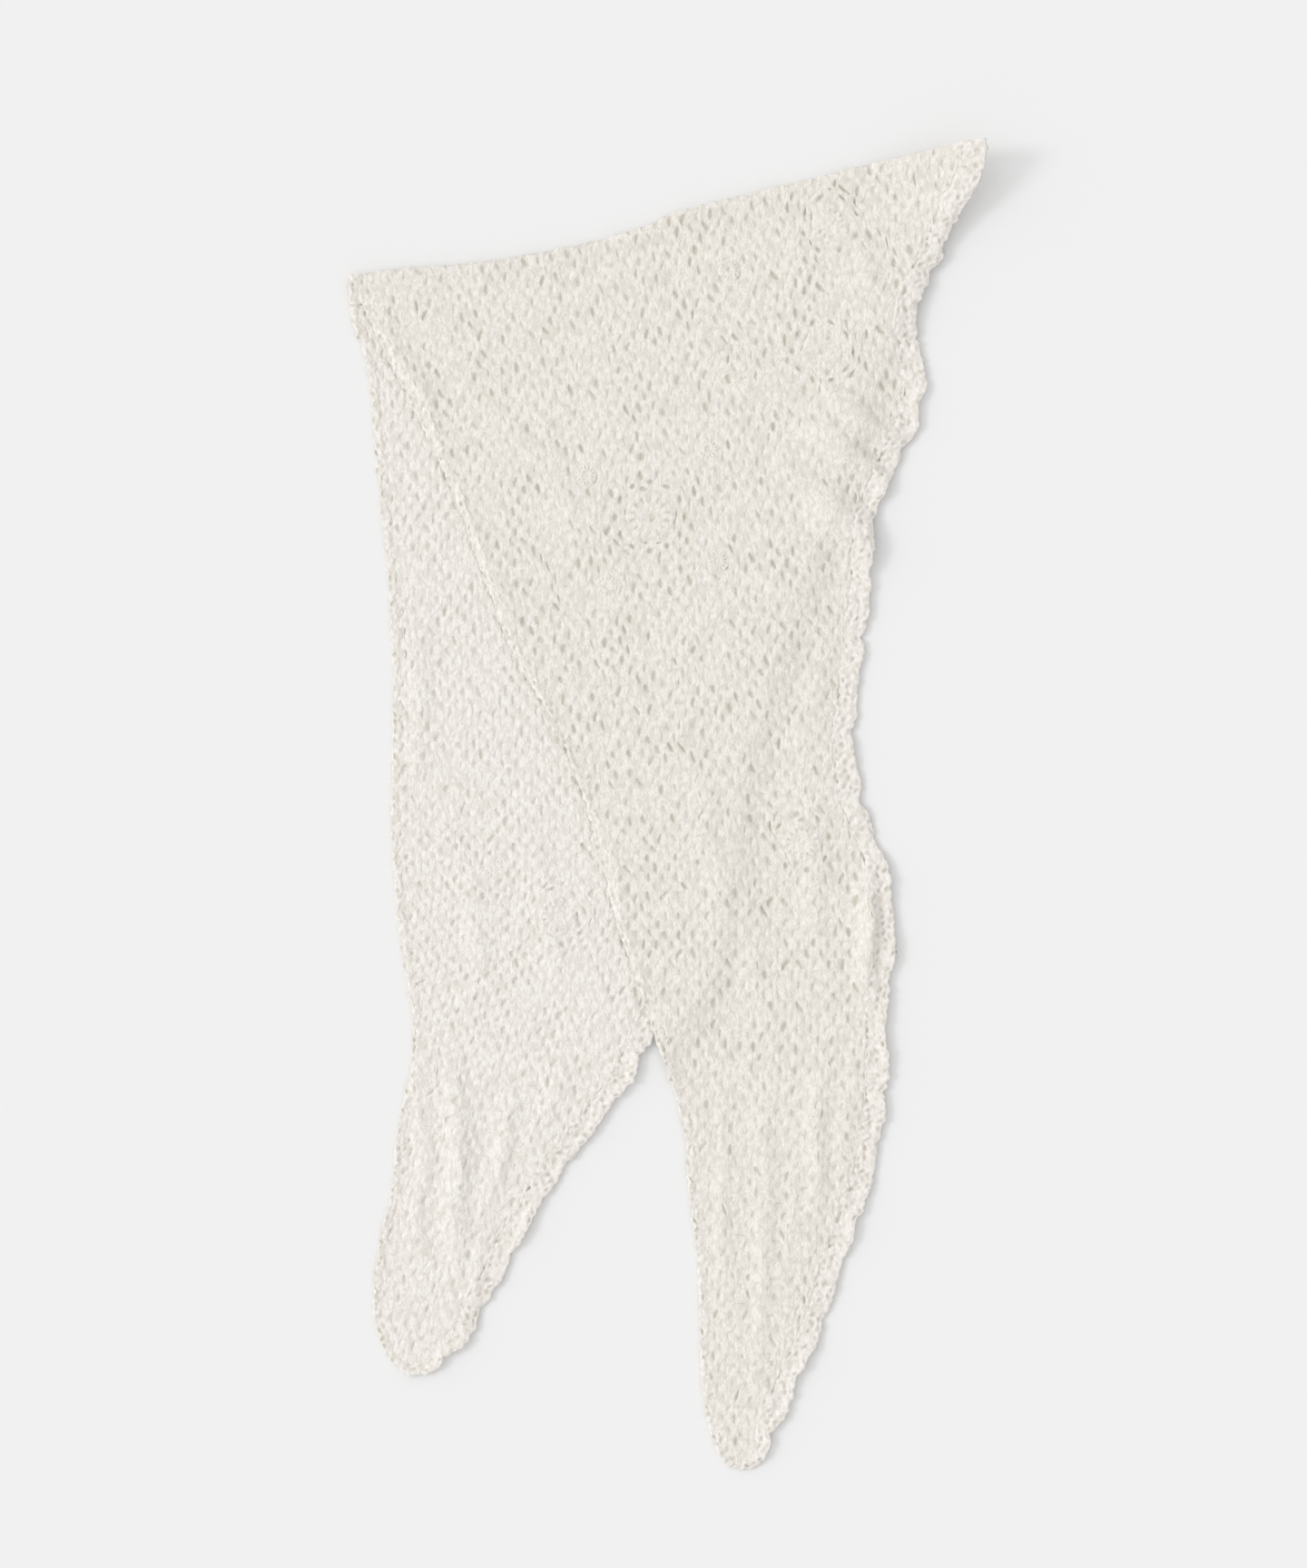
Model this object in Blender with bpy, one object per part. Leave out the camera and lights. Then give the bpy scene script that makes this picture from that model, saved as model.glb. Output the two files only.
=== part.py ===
# Lace shawl: a triangle of hand-worked cotton lace, folded once across the middle and laid flat.
# The fold runs along the top edge, the lower half rests on the surface and the upper half lies on
# it, turned a little, so that the two tails spread apart. +X is the wearer's way along the fold,
# +Y runs from the tails to the fold, and +Z is up from the surface. Sizes below are millimetres.

import math
from collections import namedtuple

import bmesh
import bpy
from mathutils import Vector
from mathutils.geometry import delaunay_2d_cdt
from mathutils.geometry import interpolate_bezier
from mathutils.geometry import intersect_line_line_2d
from mathutils.geometry import intersect_point_line

MM = 0.001

# The middle of the shawl's outline, which the finished part has at its origin
OUTLINE_MIDDLE = Vector((-1.0, -0.5, 0.0))

# Cloth
LACE_THICKNESS = 2.4
BORDER_THICKNESS = 3.0
BORDER_EDGE_THICKNESS = 1.8
BORDER_WIDTH = 15.0
EDGING_WIDTH = 5.0
SEAM_GAP = 0.3
BORDER_START_GAP = 1.0
LAYER_CLEARANCE = 0.5
UPPER_REST_HEIGHT = BORDER_THICKNESS + LAYER_CLEARANCE

# Scallops along the border
SCALLOP_LENGTH = 36.0
SCALLOP_DEPTH = 4.4
SECTIONS_A_SCALLOP = 4
LINE_SPACING = SCALLOP_LENGTH / SECTIONS_A_SCALLOP
TAIL_END_BORDER_WIDTH = 3.2
TAIL_TAPER = 0.26

# The turn at the fold
TURN_DEPTH = 18.0
TURN_RADIUS = 2.6
TURN_SPACING = 14.0

# The corner of the fold that lifts clear of the surface
TIP = Vector((191, 402))
TIP_DIRECTION = Vector((0.76, 0.65))
TIP_LIFT = 24.0
TIP_LIFT_REACH = 115.0

# Where the upper half comes down to the surface past the lower half's hidden border
DROP_START = 10.0
DROP_END = 30.0

# Spacing of the points that carry the ground's heights
GROUND_SPACING = 24.0
POINT_CLEARANCE = 10.0
RIDGE_SPACING = 14.0

# Eyelets and flowers
EYELET_SIDES = 6
FLOWER_RING_POINTS = 12
EYELET_OUTSIDE_FLOWER = 5.5

LACE_COLOUR = (0.823, 0.776, 0.713, 1.0)
BORDER_COLOUR = (0.840, 0.794, 0.734, 1.0)
EDGING_COLOUR = (0.855, 0.810, 0.745, 1.0)
COTTON_ROUGHNESS = 0.92

# The fold line along the top edge, from the neck side to the lifted corner
FoldPoint = namedtuple("FoldPoint", "x y")
FOLD = [
    FoldPoint(-193, 319),
    FoldPoint(-173, 324),
    FoldPoint(-115, 329),
    FoldPoint(-55, 339),
    FoldPoint(-23, 348),
    FoldPoint(11, 361),
    FoldPoint(89, 380),
    FoldPoint(141, 393),
    FoldPoint(191, 402),
]

# Sections across a half, from the fold to the tail's end: where each meets the neck edge, and
# where it meets the middle of the scalloped edge
Section = namedtuple("Section", "neck_x neck_y border_x border_y")
UPPER_SECTIONS = [
    Section(-193, 319, 191, 402),
    Section(-182, 297, 175, 359),
    Section(-167, 265, 159, 321),
    Section(-149, 229, 153, 285),
    Section(-129, 187, 156, 247),
    Section(-112, 140, 140, 205),
    Section(-92, 89, 126, 170),
    Section(-70, 51, 123, 129),
    Section(-53, 11, 117, 77),
    Section(-40, -34, 113, 34),
    Section(-32, -67, 120, -4),
    Section(-22, -97, 133, -38),
    Section(-13, -124, 138, -80),
    Section(-2, -158, 133, -130),
    Section(9, -193, 133, -174),
    Section(13, -234, 126, -223),
    Section(18, -275, 111, -267),
    Section(20, -319, 94, -317),
    Section(22, -363, 74, -363),
    Section(30, -392, 60, -393),
    Section(38, -403, 51, -403),
]
UNDER_SECTIONS = [
    Section(-193, 319, 191, 402),
    Section(-191, 293, 158, 352),
    Section(-182, 266, 128, 297),
    Section(-178, 228, 105, 244),
    Section(-174, 184, 86, 189),
    Section(-169, 134, 70, 134),
    Section(-166, 85, 55, 85),
    Section(-166, 35, 38, 33),
    Section(-167, -11, 27, -20),
    Section(-164, -64, 20, -75),
    Section(-158, -108, 8, -113),
    Section(-154, -135, -10, -143),
    Section(-156, -163, -23, -171),
    Section(-163, -196, -45, -200),
    Section(-167, -234, -69, -232),
    Section(-175, -270, -90, -268),
    Section(-178, -300, -105, -296),
    Section(-174, -325, -118, -320),
    Section(-166, -340, -133, -337),
    Section(-157, -347, -144, -345),
]

# Soft ridges pressed up in the cloth, each along a straight line
Ridge = namedtuple("Ridge", "start_x start_y end_x end_y half_width height")
UPPER_RIDGES = [
    Ridge(82, 252, 148, 214, 15, 5.0),
    Ridge(88, 186, 136, 138, 17, 8.0),
    Ridge(120, -28, 119, -130, 11, 8.0),
    Ridge(62, -160, 56, -362, 9, 2.6),
    Ridge(97, -140, 82, -290, 9, 2.6),
]
UNDER_RIDGES = [
    Ridge(-129, -142, -127, -300, 9, 4.6),
    Ridge(-92, -168, -108, -250, 8, 2.8),
]

# Flowers worked in the ground: their middle, radius, the eyelets round them, their turn in
# degrees, and how far the petals stand up, which is little where the upper half presses on them.
# One with no eyelets is a small solid bud.
Flower = namedtuple("Flower", "x y radius eyelets turn relief")
UPPER_FLOWERS = [
    Flower(-10, 173, 16, 12, 0, 1.3),
    Flower(94, 346, 12, 8, 20, 1.3),
    Flower(94, 273, 13, 10, 0, 1.3),
    Flower(82, -24, 12, 8, 10, 1.3),
    Flower(-49, 198, 7, 0, 0, 1.0),
    Flower(25, 214, 7, 0, 0, 1.0),
    Flower(31, 146, 7, 0, 0, 1.0),
    Flower(-36, 131, 7, 0, 0, 1.0),
    Flower(38, 322, 7, 0, 0, 1.0),
]
UNDER_FLOWERS = [
    Flower(-57, 156, 16, 8, 0, 0.3),
    Flower(64, 264, 13, 8, 0, 0.3),
    Flower(-66, -69, 12, 8, 10, 0.6),
    Flower(-104, -40, 7, 0, 0, 1.0),
]
FLOWER_EYE_RADIUS = 2.6
FLOWER_EYELET_RADIUS = 2.5

# Rows of the larger eyelets: where a row starts and ends, how many, and each one's half size
EyeletRow = namedtuple("EyeletRow", "start_x start_y end_x end_y count half_width half_length")
UPPER_EYELET_ROWS = [
    EyeletRow(28, -216, 32, -242, 3, 3.0, 4.4),
    EyeletRow(42, -214, 44, -240, 3, 3.0, 4.4),
    EyeletRow(45, -262, 45, -366, 6, 2.2, 3.4),
    EyeletRow(70, -220, 61, -334, 6, 2.2, 3.4),
    EyeletRow(88, -190, 77, -300, 6, 2.2, 3.4),
    EyeletRow(4, 80, 24, -40, 7, 2.2, 3.4),
    EyeletRow(-70, 150, -40, 70, 5, 2.2, 3.4),
    EyeletRow(20, 290, 60, 240, 4, 2.6, 2.6),
    EyeletRow(-20, 312, -60, 240, 5, 2.4, 2.8),
    EyeletRow(110, 376, 140, 340, 4, 2.2, 3.8),
]
UNDER_EYELET_ROWS = [
    EyeletRow(-101, -186, -116, -212, 3, 2.6, 3.6),
    EyeletRow(-143, -170, -147, -300, 6, 2.2, 3.4),
    EyeletRow(-80, -150, -86, -214, 4, 2.2, 3.4),
    EyeletRow(-130, 40, -124, -60, 5, 2.2, 3.2),
    EyeletRow(-30, 120, -20, -40, 6, 2.2, 3.2),
]


# Lines in the plan

def even_line(points, spacing):
    """A smooth curve through the points, as points an even distance apart."""
    points = [Vector(p) for p in points]
    fine = [points[0]]
    for i, (start, end) in enumerate(zip(points, points[1:])):
        before = points[max(i - 1, 0)]
        after = points[min(i + 2, len(points) - 1)]
        handle_start = start + (end - before) / 6
        handle_end = end - (after - start) / 6
        fine += interpolate_bezier(start, handle_start, handle_end, end, 24)[1:]
    lengths = [(b - a).length for a, b in zip(fine, fine[1:])]
    count = max(round(sum(lengths) / spacing), 2)
    step = sum(lengths) / count
    line = [fine[0]]
    travelled = 0
    for a, b, length in zip(fine, fine[1:], lengths):
        while travelled + length >= step * len(line) - 1e-6 and len(line) < count:
            line.append(a.lerp(b, (step * len(line) - travelled) / length))
        travelled += length
    line.append(fine[-1])
    return line


def left_normals(line):
    """At each point, the way to the left of the line's run, long enough to keep offsets even."""
    normals = []
    for i, point in enumerate(line):
        back = (point - line[max(i - 1, 0)]).normalized()
        ahead = (line[min(i + 1, len(line) - 1)] - point).normalized()
        run = (back + ahead).normalized()
        normal = Vector((-run.y, run.x))
        turn = run.dot(ahead if ahead.length else back)
        normals.append(normal / turn)
    return normals


def offset_line(line, distance):
    """The line moved to its left by the distance, or to its right if that is negative."""
    return [point + normal * distance for point, normal in zip(line, left_normals(line))]


def line_from(line, edge):
    """The stretch of the line that comes after it crosses the edge."""
    for i, (a, b) in enumerate(zip(line, line[1:])):
        for c, d in zip(edge, edge[1:]):
            crossing = intersect_line_line_2d(a, b, c, d)
            if crossing:
                rest = line[i + 1:]
                if (rest[0] - crossing).length < LINE_SPACING / 3:
                    rest = rest[1:]
                return [crossing] + rest
    return line


def line_between(line, start, end):
    """The points of the line that lie strictly between two points on it."""
    run = (end - start).normalized()
    reach = (end - start).dot(run)
    return [p for p in line if POINT_CLEARANCE / 2 < (p - start).dot(run) < reach - POINT_CLEARANCE / 2]


def distance_past(point, line):
    """How far the point lies to the left of the line, or a negative distance to its right."""
    nearest = None
    side = 0
    for a, b in zip(line, line[1:]):
        foot, share = intersect_point_line(point, a, b)
        foot = a.lerp(b, min(max(share, 0), 1))
        gap = (point - foot).length
        if nearest is None or gap < nearest:
            nearest = gap
            side = (b - a).cross(point - a)
    return math.copysign(nearest, side)


def inside(point, outline):
    """Whether the point lies inside the closed outline."""
    crossings = 0
    for a, b in zip(outline, outline[1:] + outline[:1]):
        if (a.y > point.y) != (b.y > point.y):
            x = a.x + (point.y - a.y) * (b.x - a.x) / (b.y - a.y)
            crossings += x > point.x
    return crossings % 2 == 1


# Heights

def smooth_step(value):
    """A rise from 0 to 1 with a level start and end."""
    value = min(max(value, 0), 1)
    return value * value * (3 - 2 * value)


def tip_lift(point):
    """How far the fold's free corner lifts the cloth at a place."""
    reach = 1 + (point - TIP).dot(TIP_DIRECTION) / TIP_LIFT_REACH
    return TIP_LIFT * max(reach, 0) ** 2


def ridge_lift(point, ridges):
    """How far the ridges lift the cloth at a place: each is a rounded hump, low at its ends."""
    lift = 0
    for ridge in ridges:
        start = Vector((ridge.start_x, ridge.start_y))
        end = Vector((ridge.end_x, ridge.end_y))
        foot, share = intersect_point_line(point, start, end)
        aside = (point - foot).length / ridge.half_width
        if aside < 1 and 0 < share < 1:
            lift = max(lift, ridge.height * math.cos(aside * math.pi / 2) ** 2 * math.sin(share * math.pi))
    return lift


def flower_relief(point, flowers):
    """How far the thick petals of a flower stand up from the ground at a place."""
    for flower in flowers:
        away = point - Vector((flower.x, flower.y))
        share = away.length / flower.radius
        if share < 1:
            return flower.relief * math.sin(math.pi * min(0.25 + share, 1))
    return 0


UNDER_BORDER_LINE = even_line([(s.border_x, s.border_y) for s in UNDER_SECTIONS], LINE_SPACING)


def under_floor(point):
    """The lower half's underside: on the surface, but for its ridges and the lifted corner."""
    return tip_lift(point) + ridge_lift(point, UNDER_RIDGES)


def upper_floor(point):
    """The upper half's underside: on the lower half, then down to the surface past its border."""
    past = distance_past(point, UNDER_BORDER_LINE)
    drop = smooth_step((past - DROP_START) / (DROP_END - DROP_START))
    return UPPER_REST_HEIGHT * (1 - drop) + tip_lift(point) + ridge_lift(point, UPPER_RIDGES)


# Solids

def cotton(name, colour):
    """Matt ivory cotton."""
    material = bpy.data.materials.new(name)
    material.use_nodes = True
    shader = material.node_tree.nodes["Principled BSDF"]
    shader.inputs["Base Color"].default_value = colour
    shader.inputs["Roughness"].default_value = COTTON_ROUGHNESS
    shader.inputs["Metallic"].default_value = 0.0
    return material


def add_solid(name, bm, colour):
    """Puts a finished mesh in the scene, in metres, under its own name and material."""
    bmesh.ops.translate(bm, vec=-OUTLINE_MIDDLE, verts=bm.verts)
    bmesh.ops.scale(bm, vec=(MM, MM, MM), verts=bm.verts)
    bmesh.ops.recalc_face_normals(bm, faces=bm.faces)
    mesh = bpy.data.meshes.new(name)
    bm.to_mesh(mesh)
    bm.free()
    mesh.materials.append(cotton(name + "_cotton", colour))
    solid = bpy.data.objects.new(name, mesh)
    bpy.context.scene.collection.objects.link(solid)


def add_band(name, rings, colour):
    """A closed wall through rings of points, with a flat cap at each end."""
    bm = bmesh.new()
    loops = [[bm.verts.new(point) for point in ring] for ring in rings]
    for near, far in zip(loops, loops[1:]):
        for i in range(len(near)):
            j = (i + 1) % len(near)
            bm.faces.new((near[i], near[j], far[j], far[i]))
    caps = [bm.faces.new(loops[0]), bm.faces.new(loops[-1])]
    bmesh.ops.triangulate(bm, faces=caps, ngon_method="EAR_CLIP")
    add_solid(name, bm, colour)


def add_ground(name, outline, eyelets, free_points, floor_of, flowers):
    """A wall of lace inside the outline, with its eyelets cut through and its flowers raised."""
    points = list(outline)
    edges = [(i, (i + 1) % len(outline)) for i in range(len(outline))]
    for eyelet in eyelets:
        first = len(points)
        points += eyelet
        edges += [(first + i, first + (i + 1) % len(eyelet)) for i in range(len(eyelet))]
    points += free_points
    flat_points, _, flat_faces, *_ = delaunay_2d_cdt(points, edges, [], 1, 1e-4)
    bm = bmesh.new()
    verts = [bm.verts.new((point.x, point.y, 0)) for point in flat_points]
    for face in flat_faces:
        middle = sum((flat_points[i] for i in face), Vector((0, 0))) / len(face)
        if not any(inside(middle, eyelet) for eyelet in eyelets):
            bm.faces.new([verts[i] for i in face])
    loose = [vert for vert in bm.verts if not vert.link_faces]
    bmesh.ops.delete(bm, geom=loose, context="VERTS")
    underside = list(bm.verts)
    grown = bmesh.ops.extrude_face_region(bm, geom=bm.faces[:])
    outside = [item for item in grown["geom"] if isinstance(item, bmesh.types.BMVert)]
    for vert in underside:
        vert.co.z = floor_of(vert.co.xy)
    for vert in outside:
        place = vert.co.xy
        vert.co.z = floor_of(place) + LACE_THICKNESS + flower_relief(place, flowers)
    add_solid(name, bm, LACE_COLOUR)


# What each half of the shawl is made of

def ring_of_points(centre, radius, count, turn):
    """Points round a circle, the first of them turned from +X."""
    angles = [turn + 2 * math.pi * i / count for i in range(count)]
    return [centre + radius * Vector((math.cos(a), math.sin(a))) for a in angles]


def flower_eyelets(flower):
    """The hole in a flower's middle and the ring of eyelets round it."""
    if not flower.eyelets:
        return []
    middle = Vector((flower.x, flower.y))
    turn = math.radians(flower.turn)
    ring = ring_of_points(middle, flower.radius + EYELET_OUTSIDE_FLOWER, flower.eyelets, turn)
    eyelets = [ring_of_points(middle, FLOWER_EYE_RADIUS, EYELET_SIDES, turn)]
    eyelets += [ring_of_points(place, FLOWER_EYELET_RADIUS, EYELET_SIDES, turn) for place in ring]
    return eyelets


def row_eyelets(row):
    """A row of long eyelets, each lying along its row."""
    start = Vector((row.start_x, row.start_y))
    end = Vector((row.end_x, row.end_y))
    along = (end - start).normalized()
    across = Vector((-along.y, along.x))
    eyelets = []
    for i in range(row.count):
        middle = start.lerp(end, i / (row.count - 1))
        round_hole = ring_of_points(Vector((0, 0)), 1, EYELET_SIDES, 0)
        eyelets.append([middle + along * p.x * row.half_length + across * p.y * row.half_width
                        for p in round_hole])
    return eyelets


def relief_points(flowers, ridges):
    """Points that carry the flowers' and the ridges' heights."""
    points = []
    for flower in flowers:
        middle = Vector((flower.x, flower.y))
        if flower.eyelets:
            points += ring_of_points(middle, flower.radius * 0.4, FLOWER_RING_POINTS // 2, 0)
        else:
            points.append(middle)
        points += ring_of_points(middle, flower.radius, FLOWER_RING_POINTS, 0)
    for ridge in ridges:
        start = Vector((ridge.start_x, ridge.start_y))
        end = Vector((ridge.end_x, ridge.end_y))
        aside = Vector((start.y - end.y, end.x - start.x)).normalized() * ridge.half_width
        count = round((end - start).length / RIDGE_SPACING)
        for i in range(1, count):
            middle = start.lerp(end, i / count)
            points += [middle, middle + aside * 0.5, middle - aside * 0.5, middle + aside, middle - aside]
    return points


def ground_points(outline, eyelets, wanted):
    """The wanted points and an even spread of others, clear of the outline and the eyelets."""
    holes = [sum(eyelet, Vector((0, 0))) / len(eyelet) for eyelet in eyelets]
    kept = []
    for point in wanted:
        clear = all((point - hole).length > POINT_CLEARANCE * 0.35 for hole in holes)
        clear = clear and all((point - other).length > POINT_CLEARANCE * 0.3 for other in kept)
        clear = clear and all((point - other).length > POINT_CLEARANCE * 0.3 for other in outline)
        clear = clear and not any(inside(point, eyelet) for eyelet in eyelets)
        if clear and inside(point, outline) and inside_margin(point, outline):
            kept.append(point)
    taken = list(kept) + holes + list(outline)
    low_x = min(p.x for p in outline)
    high_x = max(p.x for p in outline)
    y = min(p.y for p in outline)
    row = 0
    while y < max(p.y for p in outline):
        x = low_x + (row % 2) * GROUND_SPACING / 2
        while x < high_x:
            point = Vector((x, y))
            if inside(point, outline) and all((point - other).length > POINT_CLEARANCE for other in taken):
                kept.append(point)
            x += GROUND_SPACING
        y += GROUND_SPACING * math.sqrt(3) / 2
        row += 1
    return kept


def inside_margin(point, outline):
    """Whether the point keeps a few millimetres from every side of the outline."""
    for a, b in zip(outline, outline[1:] + outline[:1]):
        foot, share = intersect_point_line(point, a, b)
        foot = a.lerp(b, min(max(share, 0), 1))
        if (point - foot).length < POINT_CLEARANCE * 0.3:
            return False
    return True


FOLD_LINE = even_line([(p.x, p.y) for p in FOLD], TURN_SPACING)


def turn_directions(sections):
    """At each point of the fold, the way into a half, reaching one millimetre from the fold."""
    first, second = sections[0], sections[1]
    at_neck = Vector((second.neck_x - first.neck_x, second.neck_y - first.neck_y))
    at_border = Vector((second.border_x - first.border_x, second.border_y - first.border_y))
    directions = []
    for i, normal in enumerate(left_normals(FOLD_LINE)):
        way = at_neck.normalized().lerp(at_border.normalized(), i / (len(FOLD_LINE) - 1))
        directions.append(way / abs(way.dot(normal.normalized())))
    return directions


def seam_line(sections, depth):
    """The line a given depth below the fold, run on past both ends of the fold."""
    line = [p + way * depth for p, way in zip(FOLD_LINE, turn_directions(sections))]
    before = line[0] + (line[0] - line[1]) * 3
    after = line[-1] + (line[-1] - line[-2]) * 3
    return [before] + line + [after]


def add_turn():
    """The cloth that turns round at the fold: along under, up round the bend, and back on top."""
    half_wall = LACE_THICKNESS / 2
    bend_top = LACE_THICKNESS / 2 + 2 * TURN_RADIUS
    seam_top = UPPER_REST_HEIGHT + half_wall
    bend_middle = half_wall + TURN_RADIUS
    inner = TURN_RADIUS - half_wall
    outer = TURN_RADIUS + half_wall
    bend_depth = outer
    diagonal = math.sqrt(0.5)
    # Depth in from the fold, height, and the half it belongs to: 0 for the lower, 1 for the upper
    outside = [
        (TURN_DEPTH, 0, 0),
        (bend_depth, 0, 0),
        (bend_depth - outer * diagonal, bend_middle - outer * diagonal, 0.25),
        (bend_depth - outer, bend_middle, 0.5),
        (bend_depth - outer * diagonal, bend_middle + outer * diagonal, 0.75),
        (bend_depth, bend_top + half_wall, 1),
        (TURN_DEPTH * 0.6, (bend_top + seam_top) / 2 + half_wall, 1),
        (TURN_DEPTH, seam_top + half_wall, 1),
    ]
    inside_wall = [
        (TURN_DEPTH, seam_top - half_wall, 1),
        (TURN_DEPTH * 0.6, (bend_top + seam_top) / 2 - half_wall, 1),
        (bend_depth, bend_top - half_wall, 1),
        (bend_depth - inner, bend_middle, 0.5),
        (bend_depth, 2 * half_wall, 0),
        (TURN_DEPTH, 2 * half_wall, 0),
    ]
    under_ways = turn_directions(UNDER_SECTIONS)
    upper_ways = turn_directions(UPPER_SECTIONS)
    rings = []
    for point, under_way, upper_way in zip(FOLD_LINE, under_ways, upper_ways):
        ring = []
        for depth, height, half in outside + inside_wall:
            place = point + under_way.lerp(upper_way, half) * depth
            ring.append((place.x, place.y, height + tip_lift(place)))
        rings.append(ring)
    add_band("fold_turn", rings, LACE_COLOUR)


def border_sections(sections, seam):
    """Pairs of points across the border, outer and inner, from the seam at the fold to the tail."""
    line = even_line([(s.border_x, s.border_y) for s in sections], LINE_SPACING)
    line = line_from(line, seam)
    seam_way = (seam[-3] - seam[-2]).normalized()
    pairs = []
    for i, (point, normal) in enumerate(zip(line, left_normals(line))):
        left_to_end = (len(line) - 1 - i) * LINE_SPACING
        width = min(BORDER_WIDTH, TAIL_END_BORDER_WIDTH + TAIL_TAPER * left_to_end)
        blend = max(1 - i / SECTIONS_A_SCALLOP, 0)
        across = (-normal.normalized()).lerp(seam_way, blend)
        across = across / abs(across.dot(normal.normalized()))
        scallop = SCALLOP_DEPTH * (abs(math.sin(math.pi * i / SECTIONS_A_SCALLOP)) - 0.5)
        scallop *= smooth_step(i / SECTIONS_A_SCALLOP) * smooth_step(left_to_end / SCALLOP_LENGTH)
        pairs.append((point - across * scallop, point + across * width))
    return pairs


def add_border(name, pairs, floor_of):
    """The dense scalloped band: level where it joins the ground, thinner along its free edge."""
    rings = []
    for outer, inner in pairs:
        middle = outer.lerp(inner, 0.45)
        outer_floor = floor_of(outer)
        inner_floor = floor_of(inner)
        middle_floor = (outer_floor * 0.55 + inner_floor * 0.45)
        rings.append([
            (inner.x, inner.y, inner_floor),
            (outer.x, outer.y, outer_floor),
            (outer.x, outer.y, outer_floor + BORDER_EDGE_THICKNESS),
            (middle.x, middle.y, middle_floor + BORDER_THICKNESS),
            (inner.x, inner.y, inner_floor + LACE_THICKNESS),
        ])
    add_band(name, rings, BORDER_COLOUR)


def add_edging(name, line, floor_of):
    """The rolled band along the neck edge: six-sided and flat below."""
    radius = EDGING_WIDTH / 2
    flat_height = radius * math.sin(math.pi / 3)
    rings = []
    for point, normal in zip(line, left_normals(line)):
        middle = point + normal * radius
        floor = max(floor_of(point), floor_of(middle), floor_of(point + normal * EDGING_WIDTH))
        ring = []
        for i in range(6):
            angle = math.pi * i / 3
            place = middle + normal * radius * math.cos(angle)
            ring.append((place.x, place.y, floor + flat_height + radius * math.sin(angle)))
        rings.append(ring)
    add_band(name, rings, EDGING_COLOUR)


def add_half(name, sections, floor_of, flowers, ridges, eyelet_rows):
    """One half of the shawl: its ground, its scalloped border and its neck edging."""
    seam = seam_line(sections, TURN_DEPTH + SEAM_GAP)
    neck = line_from(even_line([(s.neck_x, s.neck_y) for s in sections], LINE_SPACING), seam)
    border = border_sections(sections, seam_line(sections, TURN_DEPTH + BORDER_START_GAP))
    add_border("border_" + name, border, floor_of)
    add_edging("neck_edging_" + name, neck_clear_of_seam(neck), floor_of)
    neck_side = line_from(offset_line(neck, EDGING_WIDTH + SEAM_GAP), seam)
    border_side = line_from(offset_line([inner for outer, inner in border], -SEAM_GAP), seam)
    top = line_between(seam, neck_side[0], border_side[0])
    outline = neck_side[::-1] + top + border_side
    eyelets = []
    for flower in flowers:
        eyelets += flower_eyelets(flower)
    for row in eyelet_rows:
        eyelets += row_eyelets(row)
    points = ground_points(outline, eyelets, relief_points(flowers, ridges))
    add_ground(name + "_half", outline, eyelets, points, floor_of, flowers)


def neck_clear_of_seam(neck):
    """The neck line, started a little past the seam so that the round band stays clear of it."""
    start = neck[0].lerp(neck[1], 0.35)
    return [start] + neck[1:]


def remove_everything():
    """Empties the scene."""
    for old in list(bpy.data.objects):
        bpy.data.objects.remove(old, do_unlink=True)


remove_everything()
add_turn()
add_half("under", UNDER_SECTIONS, under_floor, UNDER_FLOWERS, UNDER_RIDGES, UNDER_EYELET_ROWS)
add_half("upper", UPPER_SECTIONS, upper_floor, UPPER_FLOWERS, UPPER_RIDGES, UPPER_EYELET_ROWS)
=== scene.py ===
import bmesh
import bpy
import math
import random
from collections import namedtuple
from mathutils import Matrix, Vector, noise
from mathutils.bvhtree import BVHTree
from mathutils.geometry import interpolate_bezier, intersect_point_line
from mathutils.kdtree import KDTree


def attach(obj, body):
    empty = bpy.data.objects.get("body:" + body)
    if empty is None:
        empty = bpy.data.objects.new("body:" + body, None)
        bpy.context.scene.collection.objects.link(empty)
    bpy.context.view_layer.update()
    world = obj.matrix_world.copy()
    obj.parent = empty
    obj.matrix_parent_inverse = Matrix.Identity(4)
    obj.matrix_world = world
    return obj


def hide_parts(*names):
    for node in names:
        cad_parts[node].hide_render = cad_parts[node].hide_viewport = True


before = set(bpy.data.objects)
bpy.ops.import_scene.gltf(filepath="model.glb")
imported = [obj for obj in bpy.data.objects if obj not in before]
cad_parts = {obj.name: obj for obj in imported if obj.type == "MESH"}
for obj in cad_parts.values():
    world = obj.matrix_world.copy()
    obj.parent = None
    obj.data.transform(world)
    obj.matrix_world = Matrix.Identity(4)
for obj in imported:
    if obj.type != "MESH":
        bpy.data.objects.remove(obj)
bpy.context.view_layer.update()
MM = 0.001

# The view: the shawl is seen from straight above on a plain pale surface, in the light of a
# window at the left and the bright haze round it, among pale walls.
PIXEL = 0.55 * MM
PICTURE_WIDTH, PICTURE_HEIGHT = 1440, 1728
SHAWL_MIDDLE_PIXEL = (732.7, 885.4)
LENS = 85.0
SENSOR = 36.0

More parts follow.
